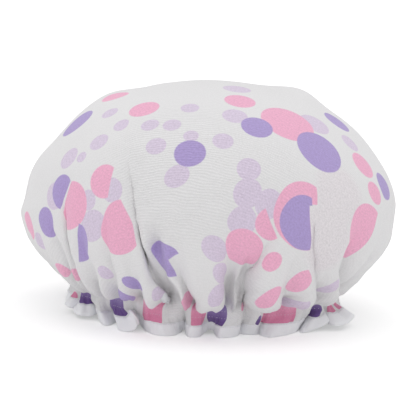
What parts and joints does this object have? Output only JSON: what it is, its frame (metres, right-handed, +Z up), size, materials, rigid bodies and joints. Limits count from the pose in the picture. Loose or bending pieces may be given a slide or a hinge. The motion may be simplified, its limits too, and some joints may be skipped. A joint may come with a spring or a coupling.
{
  "type": "shower cap",
  "caption": "Bouffant shower cap of dotted cloth with a waterproof lining, gathered by an elastic above a bound ruffle.",
  "frame": {"origin": "on the floor that the cap's ruffle stands on, under the middle of the cap", "axes": "+Z up to the top of the crown, -Y towards the pictured front, +X to the right of that view"},
  "size_m": [0.2796, 0.277, 0.1731],
  "materials": {
    "printed_cloth": "thin white ribbed polyester printed with pink, purple and lavender dots",
    "waterproof_film": "thin milky film, softly glossy",
    "elastic": "flat woven elastic, white",
    "binding_tape": "plain white tape, matt"
  },
  "bodies": {
    "root": {"outer_cover": "printed_cloth", "inner_liner": "waterproof_film", "elastic_band": "elastic", "hem_binding": "binding_tape"}
  },
  "joints": []
}
